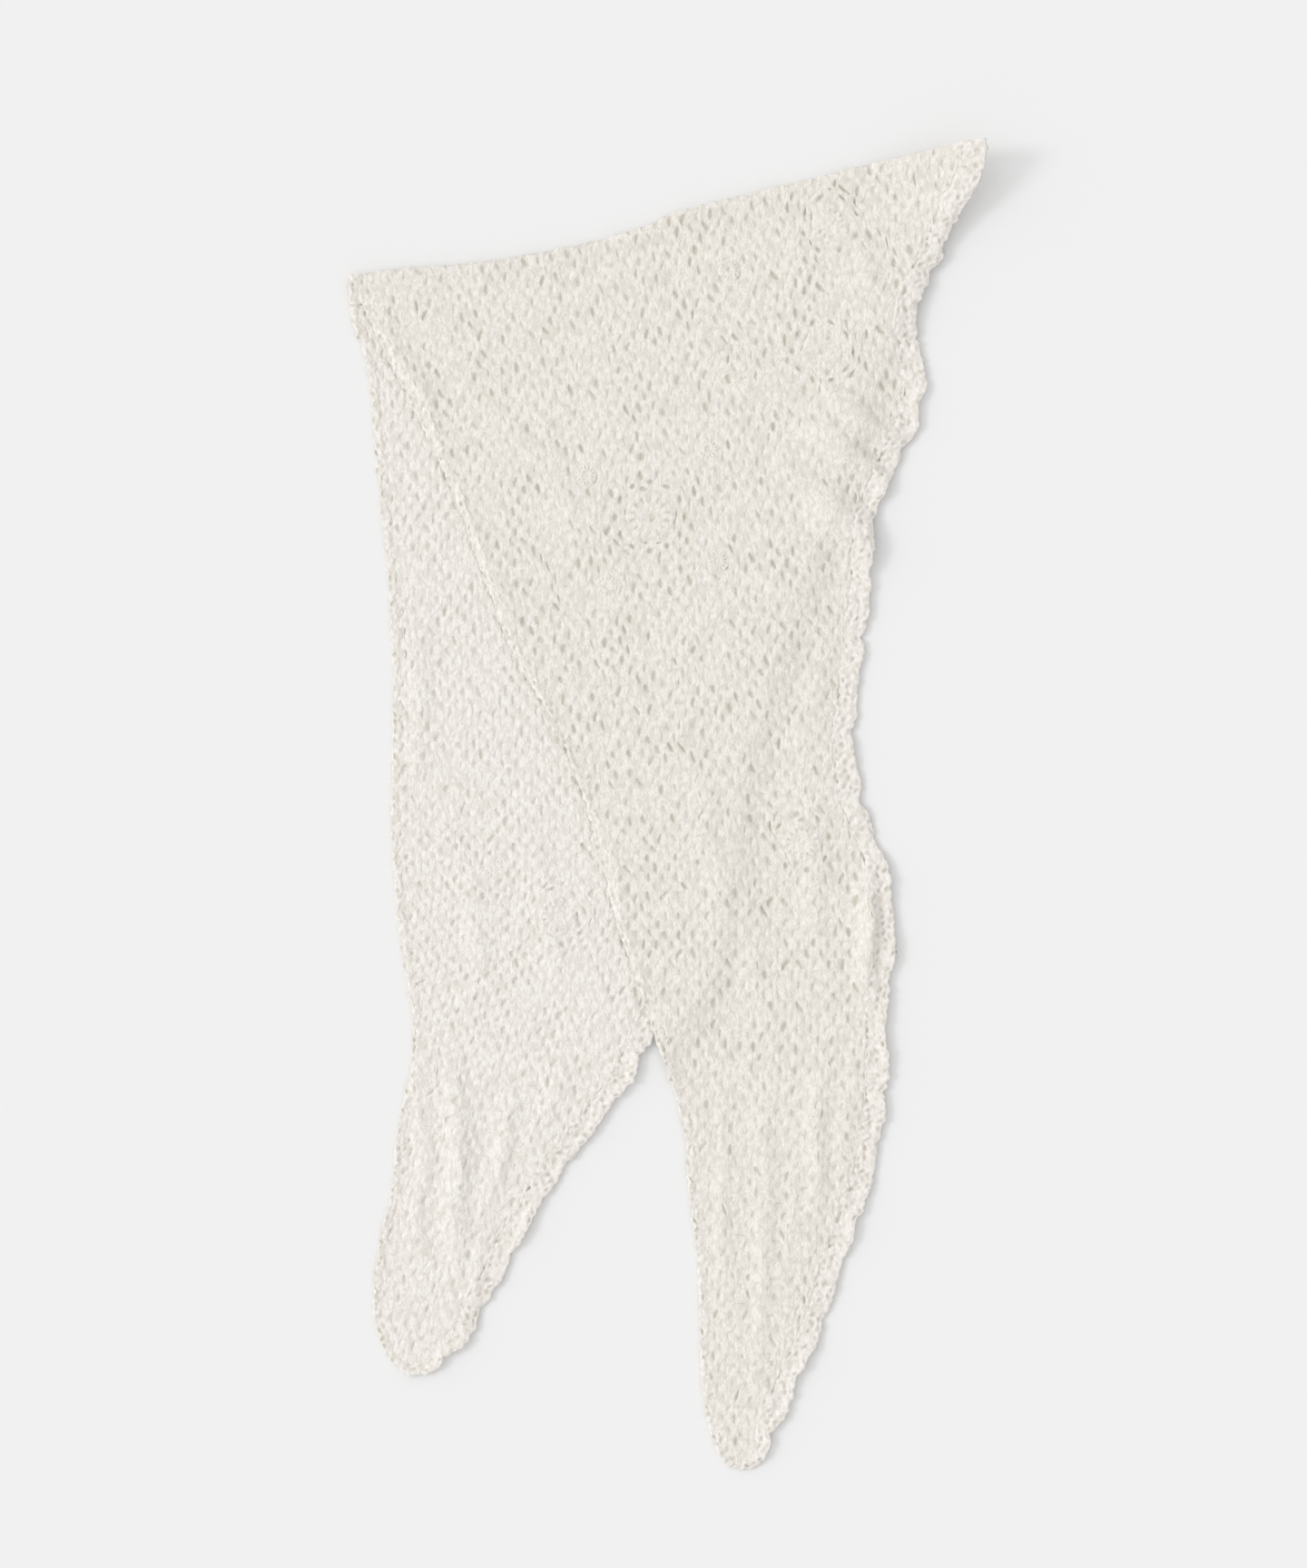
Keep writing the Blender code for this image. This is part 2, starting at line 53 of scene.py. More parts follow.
camera_data = bpy.data.cameras.new("camera")
camera_data.lens = LENS
camera_data.sensor_width = SENSOR
camera_data.clip_end = 20
camera = bpy.data.objects.new("camera", camera_data)
camera.location = ((PICTURE_WIDTH / 2 - SHAWL_MIDDLE_PIXEL[0]) * PIXEL,
                   (SHAWL_MIDDLE_PIXEL[1] - PICTURE_HEIGHT / 2) * PIXEL,
                   LENS / SENSOR * PICTURE_HEIGHT * PIXEL)
bpy.context.scene.collection.objects.link(camera)
bpy.context.scene.camera = camera
bpy.context.scene.view_settings.view_transform = "Standard"


def linear(hex_colour):
    """An sRGB hex colour as the linear colour that a shader takes."""
    parts = [int(hex_colour[i:i + 2], 16) / 255 for i in (1, 3, 5)]
    return [c / 12.92 if c <= 0.04045 else ((c + 0.055) / 1.055) ** 2.4 for c in parts] + [1.0]


FLOOR_SIZE = 60.0
FLOOR_DROP = 0.2 * MM

floor_mesh = bmesh.new()
bmesh.ops.create_grid(floor_mesh, x_segments=1, y_segments=1, size=FLOOR_SIZE / 2)
bmesh.ops.translate(floor_mesh, vec=(0, 0, -FLOOR_DROP), verts=floor_mesh.verts)
floor_data = bpy.data.meshes.new("floor")
floor_mesh.to_mesh(floor_data)
floor_mesh.free()
floor = bpy.data.objects.new("floor", floor_data)
bpy.context.scene.collection.objects.link(floor)

# Matt white paper, which gives a soft even ground with no gloss.
paper = bpy.data.materials.new("matt_white_paper")
paper.use_nodes = True
paper_shader = paper.node_tree.nodes["Principled BSDF"]
paper_shader.inputs["Base Color"].default_value = linear("#F1F1F1")
paper_shader.inputs["Roughness"].default_value = 0.95
paper_shader.inputs["Specular IOR Level"].default_value = 0.1
floor_data.materials.append(paper)


def add_light(name, way_from, energy, angle):
    """A far light, from a way in the frame, as wide as an angle in degrees."""
    light = bpy.data.lights.new(name, "SUN")
    light.energy = energy
    light.angle = math.radians(angle)
    lamp = bpy.data.objects.new(name, light)
    lamp.rotation_euler = Vector(way_from).to_track_quat("Z", "Y").to_euler()
    bpy.context.scene.collection.objects.link(lamp)


add_light("window", (-1.0, 0.06, 0.74), 0.62, 16)
add_light("window_haze", (-1.0, 0.30, 0.85), 0.56, 70)

walls = bpy.data.worlds.new("pale_walls")
walls.use_nodes = True
walls.node_tree.nodes["Background"].inputs["Color"].default_value = linear("#FFFFFF")
walls.node_tree.nodes["Background"].inputs["Strength"].default_value = 0.770
bpy.context.scene.world = walls


# The lace ground of the lower half, which lies on the surface: soft ivory cotton yarn worked in
# columns of small long meshes, set like bricks. The columns run down from the fold and lean as
# the tail spreads. Its sizes are in millimetres, with the middle of the photographed outline at
# OUTLINE_MIDDLE. The tables that follow say where its edges, ridges, flowers and eyelets lie.
OUTLINE_MIDDLE = Vector((-1.0, -0.5, 0.0))
HALF_WALL = 1.2
LEAST_HEIGHT = 0.05
BORDER_WIDTH = 15.0
EDGING_WIDTH = 5.0
EDGE_OVERLAP = 3.2
TURN_DEPTH = 18.0
TIP = Vector((191, 402))
TIP_DIRECTION = Vector((0.76, 0.65))
TIP_LIFT = 24.0
TIP_LIFT_REACH = 84.0
LINE_SPACING = 2.0
TURN_OVERLAP = 4.0

FOLD = [(-193, 319), (-173, 324), (-115, 329), (-55, 339), (-23, 348), (11, 361), (89, 380),
        (141, 392), (190, 399)]
Section = namedtuple("Section", "neck_x neck_y border_x border_y")
UNDER_SECTIONS = [
    Section(-193, 319, 190, 399),
    Section(-191, 293, 158, 352),
    Section(-182, 266, 128, 297),
    Section(-178, 228, 105, 244),
    Section(-174, 184, 86, 189),
    Section(-169, 134, 70, 134),
    Section(-166, 85, 55, 85),
    Section(-166, 35, 38, 33),
    Section(-167, -11, 27, -20),
    Section(-164, -64, 20, -75),
    Section(-158, -108, 8, -113),
    Section(-154, -135, -10, -143),
    Section(-156, -163, -23, -171),
    Section(-163, -196, -45, -200),
    Section(-167, -234, -69, -232),
    Section(-175, -270, -90, -268),
    Section(-178, -300, -105, -296),
    Section(-174, -325, -118, -320),
    Section(-166, -340, -133, -337),
    Section(-157, -347, -144, -345),
]
Ridge = namedtuple("Ridge", "start_x start_y end_x end_y half_width height left_half_width",
                   defaults=[0])
UNDER_RIDGES = [
    Ridge(-129, -142, -127, -300, 10, 3.4),
    Ridge(-92, -168, -108, -250, 8, 2.8),
    Ridge(-150, -150, -148, -300, 8, 1.6),
    Ridge(-108, -230, -122, -330, 7, 1.8),
    Ridge(-60, -150, -84, -210, 7, 1.6),
    Ridge(-120, -20, -108, -130, 12, 1.5),
    Ridge(-80, -20, -66, -120, 13, 1.3),
    Ridge(-154, 120, -148, 10, 10, 1.2),
]
Flower = namedtuple("Flower", "x y radius eyelets turn relief eye", defaults=[0.7])
UNDER_FLOWERS = [
    Flower(-57, 156, 16, 8, 0, 0.3),
    Flower(64, 264, 13, 8, 0, 0.3),
    Flower(-66, -69, 12, 8, 10, 0.6),
    Flower(-104, -40, 7, 0, 0, 0.6),
]
EyeletRow = namedtuple("EyeletRow", "start_x start_y end_x end_y count half_width half_length open",
                       defaults=[False])
UNDER_EYELET_ROWS = [
    EyeletRow(-101, -186, -116, -212, 3, 2.6, 3.6),
    EyeletRow(-143, -170, -147, -300, 6, 2.2, 3.4),
    EyeletRow(-80, -150, -86, -214, 4, 2.2, 3.4),
    EyeletRow(-130, 40, -124, -60, 5, 2.2, 3.2),
    EyeletRow(-30, 120, -20, -40, 6, 2.2, 3.2),
]


def even_line(points, spacing):
    """A smooth curve through the points, as points an even distance apart."""
    points = [Vector(p) for p in points]
    fine = [points[0]]
    for i, (start, end) in enumerate(zip(points, points[1:])):
        before = points[max(i - 1, 0)]
        after = points[min(i + 2, len(points) - 1)]
        fine += interpolate_bezier(start, start + (end - before) / 6,
                                   end - (after - start) / 6, end, 24)[1:]
    total = sum((b - a).length for a, b in zip(fine, fine[1:]))
    count = round(total / spacing)
    line = [fine[0]]
    travelled = 0
    for a, b in zip(fine, fine[1:]):
        length = (b - a).length
        while len(line) < count and total / count * len(line) <= travelled + length:
            line.append(a.lerp(b, (total / count * len(line) - travelled) / length))
        travelled += length
    return line + [fine[-1]]


def left_normals(line):
    """At each point, the way to the left of the line's run, long enough to keep offsets even."""
    normals = []
    for i, point in enumerate(line):
        back = (point - line[max(i - 1, 0)]).normalized()
        ahead = (line[min(i + 1, len(line) - 1)] - point).normalized()
        run = (back + ahead).normalized()
        normals.append(Vector((-run.y, run.x)) / run.dot(ahead if ahead.length else back))
    return normals


def offset_line(line, distance):
    """The line moved to its left by the distance, or to its right if that is negative."""
    return [point + normal * distance for point, normal in zip(line, left_normals(line))]


def smooth_step(value):
    """A rise from 0 to 1 with a level start and end."""
    value = min(max(value, 0), 1)
    return value * value * (3 - 2 * value)


def searched(line):
    """A search tree of a line's points."""
    tree = KDTree(len(line))
    for i, point in enumerate(line):
        tree.insert(point.to_3d(), i)
    tree.balance()
    return tree


def nearest_on(place, line, tree):
    """A line's nearest place and its run there, and how far the place lies to the line's left."""
    i = tree.find(place.to_3d())[1]
    first = max(i - 1, 0)
    best = None
    for a, b in zip(line[first:i + 1], line[first + 1:i + 2]):
        share = intersect_point_line(place, a, b)[1]
        foot = a.lerp(b, min(max(share, 0), 1))
        gap = (place - foot).length
        if best is None or gap < best[0]:
            run = (b - a).normalized()
            best = (gap, foot, run, math.copysign(gap, run.cross(place - foot)))
    return best[1:]


def tip_lift(place):
    """How far the fold's free corner lifts the cloth at a place."""
    reach = 1 + (place - TIP).dot(TIP_DIRECTION) / TIP_LIFT_REACH
    return TIP_LIFT * max(reach, 0) ** 2


RIDGE_WAVE_LENGTH = 34.0
RIDGE_WAVE = 6.0
SEED = 7
noise.seed_set(SEED)


def ridge_lift(place, ridges):
    """How far the ridges lift the cloth at a place: each is a rounded hump, low at its ends, and
    some have a steeper flank to the left of their run."""
    lift = 0
    place = place + noise.noise_vector((place / RIDGE_WAVE_LENGTH).to_3d()).xy * RIDGE_WAVE
    for ridge in ridges:
        start = Vector((ridge.start_x, ridge.start_y))
        end = Vector((ridge.end_x, ridge.end_y))
        foot, share = intersect_point_line(place, start, end)
        half_width = ridge.half_width
        if ridge.left_half_width and (end - start).cross(place - foot) > 0:
            half_width = ridge.left_half_width
        aside = (place - foot).length / half_width
        if aside < 1 and 0 < share < 1:
            hump = math.cos(aside * math.pi / 2) ** 2 * math.sin(share * math.pi)
            lift = max(lift, ridge.height * hump)
    return lift


FOLD_REACH = 40.0
fold_line = even_line(FOLD, LINE_SPACING)
fold_line.insert(0, fold_line[0] + (fold_line[0] - fold_line[1]).normalized() * FOLD_REACH)
fold_line.append(fold_line[-1] + (fold_line[-1] - fold_line[-2]).normalized() * FOLD_REACH)
fold_tree = searched(fold_line)


def on_lower(place, rise=0.0):
    """A place on the lower half, in space. The rise is out of the middle of the cloth."""
    height = max(HALF_WALL + rise, LEAST_HEIGHT)
    return Vector((*place, height + tip_lift(place) + ridge_lift(place, UNDER_RIDGES)))


def below_fold(line, depth):
    """The points of a line that lie deeper below the fold than a depth."""
    return [p for p in line if -nearest_on(p, fold_line, fold_tree)[2] > depth]


def neck_line(sections, spacing=LINE_SPACING):
    """The straight neck edge of a half, from the fold to the tail's end."""
    return even_line([(s.neck_x, s.neck_y) for s in sections], spacing)


def border_line(sections, spacing=LINE_SPACING):
    """The scalloped edge of a half, before its scallops, from the fold to the tail's end."""
    return even_line([(s.border_x, s.border_y) for s in sections], spacing)


TAIL_END_BORDER_WIDTH = 3.2
TAIL_TAPER = 0.26


def border_width(left_to_end):
    """The border's width at a distance from the tail's end."""
    return min(BORDER_WIDTH, TAIL_END_BORDER_WIDTH + TAIL_TAPER * left_to_end)


def ground_sides(sections, depth):
    """The sides of a half's lace ground, from a depth below the fold: at the neck, at the border."""
    neck = offset_line(neck_line(sections), EDGING_WIDTH - EDGE_OVERLAP)
    line = border_line(sections)
    border = []
    for i, (point, normal) in enumerate(zip(line, left_normals(line))):
        width = border_width((len(line) - 1 - i) * LINE_SPACING)
        border.append(point - normal * max(width - EDGE_OVERLAP, 1))
    return below_fold(neck, depth), below_fold(border, depth)


CLOTH_STEP = 2
CLOTH_LENGTH = 860


def cloth_lines(top, leans):
    """The line that a half's columns follow down from the fold, as places and ways across.
    The leans are distances from the fold, and the columns' lean from there on, in degrees."""
    place = Vector(top)
    lines = {}
    for along in range(0, CLOTH_LENGTH, CLOTH_STEP):
        lean = leans[0][1]
        for (low, low_lean), (high, high_lean) in zip(leans, leans[1:]):
            lean += (high_lean - low_lean) * smooth_step((along - low) / (high - low))
        lean = math.radians(lean)
        lines[along // CLOTH_STEP] = (place.copy(), Vector((math.cos(lean), math.sin(lean))))
        place += Vector((math.sin(lean), -math.cos(lean))) * CLOTH_STEP
    return lines


def on_cloth(lines, across, along):
    """The place in the shawl's outline of a place on the flat cloth."""
    if along < 0:
        start, way = lines[0]
        return start + way * across + Vector((way.y, -way.x)) * along
    i = min(int(along / CLOTH_STEP), len(lines) - 2)
    share = along / CLOTH_STEP - i
    middle = lines[i][0].lerp(lines[i + 1][0], share)
    return middle + lines[i][1].lerp(lines[i + 1][1], share) * across


EYELET_OUTSIDE_FLOWER = 5.0
FLOWER_EYELET_RADIUS = 1.7


def larger_eyelets(flowers, rows):
    """Every larger eyelet: its place, its half width and half length as ways from it, and if it
    is open."""
    eyelets = []
    for flower in flowers:
        ring = flower.radius + EYELET_OUTSIDE_FLOWER
        for i in range(flower.eyelets):
            angle = math.radians(flower.turn) + 2 * math.pi * i / flower.eyelets
            place = Vector((flower.x + ring * math.cos(angle), flower.y + ring * math.sin(angle)))
            size = FLOWER_EYELET_RADIUS
            eyelets.append((place, Vector((size, 0)), Vector((0, size)), False))
    for row in rows:
        start = Vector((row.start_x, row.start_y))
        end = Vector((row.end_x, row.end_y))
        along = (end - start).normalized()
        across = Vector((-along.y, along.x))
        for i in range(row.count):
            eyelets.append((start.lerp(end, i / (row.count - 1)), across * row.half_width,
                            along * row.half_length, row.open))
    return eyelets


NET_COLUMN = 8.6
NET_ROW = 12.6
NET_CELLS = 120
NET_MIDDLE = 32 * NET_ROW
CELL_REACH = 3.0
CROSSING_SCATTER = 2.8
SCATTER_CLOSENESS = 0.37
HOLE_WIDTH = 0.25
HOLE_LENGTH = 0.62
HOLE_SLANT = 1.2
LEAST_OPENNESS = 0.12
CHANCE_OPENNESS = 0.92
PATCH_OPENNESS = 0.2
PATCH_LENGTH = 26.0
CLOSING_ON_RIDGES = 0.12
RIDGE_LIFT_LIMIT = 5.0
LEAF_START = 9
LEAF_REACH = 3.6
LEAF_EDGE = 0.1
LEAF_OPENNESS = 0.70
LADDER_OPENNESS = 0.25
LADDER_STEP = 10.0
OPENNESS_BETWEEN_LEAVES = 1.15
TAIL_START = 500
TAIL_BLEND = 60
TAIL_COLUMNS = 4
TAIL_EVENNESS = 0.65
OPEN_COLUMN_EDGE = 0.3
OPEN_COLUMN_OPENNESS = 0.90
CLOSE_COLUMN_OPENNESS = 0.30
OPENNESS_LIMITS = (0.1, 1.25)


def openness(place, across, along, flowers, ridges, chance):
    """How open a mesh is, from 0 for closed to 1 for wide: leaves round the flowers are close,
    with ladders of open meshes across them, and in the tail every second pair of columns is open."""
    patch = noise.noise((place / PATCH_LENGTH).to_3d())
    value = LEAST_OPENNESS + CHANCE_OPENNESS * chance + PATCH_OPENNESS * patch
    value *= 1 - CLOSING_ON_RIDGES * min(ridge_lift(place, ridges), RIDGE_LIFT_LIMIT)
    for flower in flowers:
        away = place - Vector((flower.x, flower.y))
        past = away.length - flower.radius
        if flower.eyelets and LEAF_START < past < LEAF_REACH * flower.radius:
            leaf = math.cos(flower.eyelets / 2 * (math.atan2(away.y, away.x) - math.radians(flower.turn)))
            if leaf > LEAF_EDGE:
                value *= LEAF_OPENNESS + LADDER_OPENNESS * math.cos(2 * math.pi * past / LADDER_STEP)
            else:
                value *= OPENNESS_BETWEEN_LEAVES
    is_open = math.cos(4 * math.pi * across / (NET_COLUMN * TAIL_COLUMNS)) > OPEN_COLUMN_EDGE
    column = OPEN_COLUMN_OPENNESS if is_open else CLOSE_COLUMN_OPENNESS
    tail = smooth_step((along - TAIL_START) / TAIL_BLEND)
    value += (column - value) * tail * TAIL_EVENNESS
    return min(max(value, OPENNESS_LIMITS[0]), OPENNESS_LIMITS[1])


FLOWER_PUSH = 0.85


def round_flowers(place, flowers):
    """A place of the ground, moved out from the flowers so that the rows pass round them."""
    for flower in flowers:
        away = place - Vector((flower.x, flower.y))
        push = flower.radius * FLOWER_PUSH * math.exp(-away.length / flower.radius)
        place = place + away.normalized() * push
    return place


NET_START = -26
NET_END = 850
UNDERSIDE = 0.1 - HALF_WALL
CROSSING_RISE = 0.85
CROSSING_UNEVENNESS = 0.7
CROSSING_CLOSENESS = 1.7
SHOULDER_INSET = 0.4
SHOULDER_SHARE = 0.62
SHOULDER_RISE = 0.7
SHOULDER_PIT_SHADE_SHARE = 0.15
PIT_RISE = -0.85
PIT_START = 0.4
LEAST_PIT_SHADE = 0.2
PIT_SHADE_START = 0.35
PIT_SHADE_BLEND = 0.8
HOLE_EDGE_RISE = -0.1
SLANT_CLOSENESS = 0.61
SLIMMEST_HOLE = 0.75
SLIM_RANGE = 0.5
SHORTEST_HOLE = 0.4
EYELET_OPENNESS = 1.2
EYELET_REACH = 0.6
EYELET_RIM = 1.6


def net(lines, sides, flowers, ridges, rows, pit_shade_share):
    """The lace of one half inside its sides, laid flat. Each mesh is a diamond of plump cloth
    round a slot that fuzz closes, or round an open hole. Each point keeps how far it rises, and
    how much painted shade of the hollows it has, up to the half's share."""
    whole = bmesh.new()
    bmesh.ops.create_grid(whole, x_segments=NET_CELLS, y_segments=NET_CELLS, size=NET_CELLS / 2)
    bmesh.ops.rotate(whole, verts=whole.verts, matrix=Matrix.Rotation(math.pi / 4, 3, "Z"))
    diamond = Vector((NET_COLUMN, NET_ROW, 1)) / math.sqrt(2)
    bmesh.ops.scale(whole, vec=diamond, verts=whole.verts)
    bmesh.ops.translate(whole, vec=(0, NET_MIDDLE, 0), verts=whole.verts)

    area = BVHTree.FromPolygons([p.to_3d() for p in sides], [tuple(range(len(sides)))])
    left_out = []
    for cell in whole.faces:
        middle = cell.calc_center_median()
        place = round_flowers(on_cloth(lines, middle.x, middle.y), flowers)
        outside = area.find_nearest(place.to_3d())[3] > CELL_REACH
        if outside or not NET_START <= middle.y <= NET_END:
            left_out.append(cell)
    bmesh.ops.delete(whole, geom=left_out, context="FACES")

    cloth = whole.verts.layers.float_vector.new("cloth")
    rise_layer = whole.verts.layers.float.new("rise")
    painted_shade_layer = whole.verts.layers.float.new("depth")
    along_layer = whole.faces.layers.float.new("along")
    for vert in whole.verts:
        vert[cloth] = vert.co.copy()
        scatter = noise.noise_vector(vert.co * SCATTER_CLOSENESS).xy * CROSSING_SCATTER
        place = round_flowers(on_cloth(lines, vert.co.x, vert.co.y), flowers) + scatter
        solid = area.find_nearest(place.to_3d())[0].xy
        vert.co = solid.to_3d()
    opened = {}
    for place, half_width, half_length, is_open in larger_eyelets(flowers, rows):
        cell = min(whole.faces, key=lambda f: (f.calc_center_median().xy - place).length_squared)
        move = place - cell.calc_center_median().xy
        if move.length < NET_ROW * EYELET_REACH and cell not in opened:
            opened[cell] = (place, half_width, half_length, is_open)
            clear = max(half_width.length, half_length.length) + EYELET_RIM
            for vert in cell.verts:
                vert.co.xy += move
                away = vert.co.xy - place
                if away.length < clear:
                    vert.co.xy = place + away * clear / away.length

    cells = list(whole.faces)
    crossings = set(whole.verts)
    plans = []
    for cell in cells:
        middle = cell.calc_center_median().xy
        spot = sum((v[cloth] for v in cell.verts), Vector()) / 4
        plans.append((opened.get(cell), middle, spot))
    for _ in range(2):
        bmesh.ops.inset_individual(whole, faces=cells, thickness=SHOULDER_INSET, use_even_offset=True)
    for vert in crossings:
        uneven = noise.noise(vert.co * CROSSING_CLOSENESS)
        vert[rise_layer] = CROSSING_RISE + CROSSING_UNEVENNESS * uneven
    holes = []
    chances = random.Random(SEED)
    for cell, (eyelet, middle, spot) in zip(cells, plans):
        wide = openness(middle, spot.x, spot.y, flowers, ridges, chances.random())
        across = (on_cloth(lines, spot.x + 1, spot.y) - on_cloth(lines, spot.x, spot.y)).normalized()
        along = Vector((-across.y, across.x))
        along += across * HOLE_SLANT * noise.noise(spot * SLANT_CLOSENESS)
        closed = not eyelet or not eyelet[3]
        if eyelet:
            wide = EYELET_OPENNESS
        slim = SLIMMEST_HOLE + SLIM_RANGE * chances.random()
        length = SHORTEST_HOLE + (1 - SHORTEST_HOLE) * wide
        # Painted shade in the pits: the more open a mesh, the darker its pit is painted, and its shoulders
        # take a share of it.
        depth = LEAST_PIT_SHADE + (1 - LEAST_PIT_SHADE) * smooth_step((wide - PIT_SHADE_START) / PIT_SHADE_BLEND)
        own = set(cell.verts)
        for vert in cell.verts:
            shoulder = next(e.other_vert(vert) for e in vert.link_edges if e.other_vert(vert) not in own)
            outer = next(e.other_vert(shoulder) for e in shoulder.link_edges
                         if e.other_vert(shoulder) in crossings)
            away = outer.co.xy - middle
            sideways = away.dot(across)
            lengthways = away.dot(along)
            if eyelet:
                way = Vector((sideways, lengthways)).normalized()
                vert.co.xy = eyelet[0] + eyelet[1] * way.x + eyelet[2] * way.y
            else:
                vert.co.xy = (middle + across * sideways * HOLE_WIDTH * wide * slim
                              + along * lengthways * HOLE_LENGTH * length)
            vert[rise_layer] = PIT_START + PIT_RISE * wide if closed else HOLE_EDGE_RISE
            vert[painted_shade_layer] = pit_shade_share * depth
            shoulder.co.xy = outer.co.xy.lerp(vert.co.xy, SHOULDER_SHARE)
            shoulder[rise_layer] = SHOULDER_RISE
            shoulder[painted_shade_layer] = vert[painted_shade_layer] * SHOULDER_PIT_SHADE_SHARE
            for face in list(vert.link_faces) + list(shoulder.link_faces):
                face[along_layer] = spot.y
        if not closed:
            holes.append(cell)
    bmesh.ops.delete(whole, geom=holes, context="FACES_ONLY")
    return whole


def node(tree, kind, links=None, **settings):
    """Adds a node with its settings, and its inputs' links or values."""
    made = tree.nodes.new(kind)
    for name, value in settings.items():
        setattr(made, name, value)
    for name, value in (links or {}).items():
        if isinstance(value, bpy.types.NodeSocket):
            tree.links.new(value, made.inputs[name])
        else:
            made.inputs[name].default_value = value
    return made


STITCH = 3.0 * MM
YARN = 1.1 * MM
FIBRE = 0.6 * MM
# Painted shade: the colour that the pits, slots and flower eyes are darkened towards.
PAINTED_SHADE_COLOUR = "#C9C1B3"


def cotton_yarn(name, light, dark):
    """Soft spun cotton, worked loosely by hand: matt, in small upright puffs with loose plies and
    a short nap. Painted shade makes it a little darker and warmer between the puffs and in the hollows."""
    material = bpy.data.materials.new(name)
    material.use_nodes = True
    tree = material.node_tree
    shader = tree.nodes["Principled BSDF"]
    place = node(tree, "ShaderNodeTexCoord").outputs["Object"]
    longer = node(tree, "ShaderNodeMapping", {"Vector": place, "Scale": (1.0, 0.6, 1.0)}).outputs["Vector"]
    drift = node(tree, "ShaderNodeTexNoise", {"Vector": longer, "Scale": 0.6 / STITCH, "Detail": 2.0})
    bent = node(tree, "ShaderNodeVectorMath", {0: drift.outputs["Color"], 1: (STITCH * 1.8,) * 3},
                operation="MULTIPLY")
    moved = node(tree, "ShaderNodeVectorMath", {0: longer, 1: bent.outputs["Vector"]}, operation="ADD")
    puffs = node(tree, "ShaderNodeTexVoronoi", {"Vector": moved.outputs["Vector"], "Scale": 1 / STITCH})
    plies = node(tree, "ShaderNodeTexNoise", {"Vector": longer, "Scale": 1 / YARN, "Detail": 1.0,
                                              "Distortion": 0.8})
    nap = node(tree, "ShaderNodeTexNoise", {"Vector": place, "Scale": 1 / FIBRE, "Detail": 1.0})
    with_plies = node(tree, "ShaderNodeMath", {0: puffs.outputs["Distance"], 1: -0.9,
                                               2: plies.outputs["Fac"]}, operation="MULTIPLY_ADD")
    height = node(tree, "ShaderNodeMath", {0: nap.outputs["Fac"], 1: 0.4,
                                           2: with_plies.outputs["Value"]}, operation="MULTIPLY_ADD")
    bump = node(tree, "ShaderNodeBump", {"Height": height.outputs["Value"], "Strength": 1.0,
                                         "Distance": 0.5 * MM})
    # Painted shade between the puffs: the yarn's colour is mixed darker where the puff pattern lies low.
    share = node(tree, "ShaderNodeMapRange", {"Value": height.outputs["Value"], "From Min": 0.0,
                                              "From Max": 0.5, "To Min": 0.0, "To Max": 1.0})
    yarn = node(tree, "ShaderNodeMix", {"Factor": share.outputs["Result"], "A": linear(dark),
                                        "B": linear(light)}, data_type="RGBA")
    # The 'depth' attribute says how much painted shade of the hollows a point has. Above 1, as in the
    # flowers' eyes, it darkens past that colour to a warm brown.
    depth = node(tree, "ShaderNodeAttribute", attribute_name="depth")
    colour = node(tree, "ShaderNodeMix", {"Factor": depth.outputs["Fac"], "A": yarn.outputs["Result"],
                                          "B": linear(PAINTED_SHADE_COLOUR)}, data_type="RGBA",
                  clamp_factor=False)
    tree.links.new(colour.outputs["Result"], shader.inputs["Base Color"])
    tree.links.new(bump.outputs["Normal"], shader.inputs["Normal"])
    shader.inputs["Roughness"].default_value = 0.95
    shader.inputs["Specular IOR Level"].default_value = 0.15
    shader.inputs["Sheen Weight"].default_value = 0.15
    shader.inputs["Sheen Roughness"].default_value = 0.5
    return material


# Two copies of one yarn: the folded half's is a little darker and warmer, painted shade of the lower half
# that shows through its holes.
single_layer_cotton = cotton_yarn("spun_cotton_lace_single", "#F9F5F0", "#E9E4DC")
folded_cotton_shaded = cotton_yarn("spun_cotton_lace_folded_shaded", "#F6F2EB", "#E6E1D8")
FUZZ_SIZE = 3.0
FUZZ_HEIGHT = 0.6

uneven_yarn = bpy.data.textures.new("uneven_yarn", "CLOUDS")
uneven_yarn.noise_scale = FUZZ_SIZE * MM
uneven_yarn.noise_depth = 1


def placed(name, bm, material):
    """Puts a mesh in the frame, in metres, as an object of its own that rides on the shawl."""
    bmesh.ops.translate(bm, vec=-OUTLINE_MIDDLE, verts=bm.verts)
    bmesh.ops.scale(bm, vec=(MM, MM, MM), verts=bm.verts)
    for face in bm.faces:
        face.smooth = True
    mesh = bpy.data.meshes.new(name)
    bm.to_mesh(mesh)
    bm.free()
    mesh.materials.append(material)
    piece = bpy.data.objects.new(name, mesh)
    bpy.context.scene.collection.objects.link(piece)
    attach(piece, "root")
    return piece


def softened(piece):
    """Rounds a piece by one subdivision, and makes its yarn uneven."""
    soft = piece.modifiers.new("soft", "SUBSURF")
    soft.levels = soft.render_levels = 1
    fuzz = piece.modifiers.new("uneven_yarn", "DISPLACE")
    fuzz.texture = uneven_yarn
    fuzz.strength = FUZZ_HEIGHT * MM
    fuzz.mid_level = 0.5


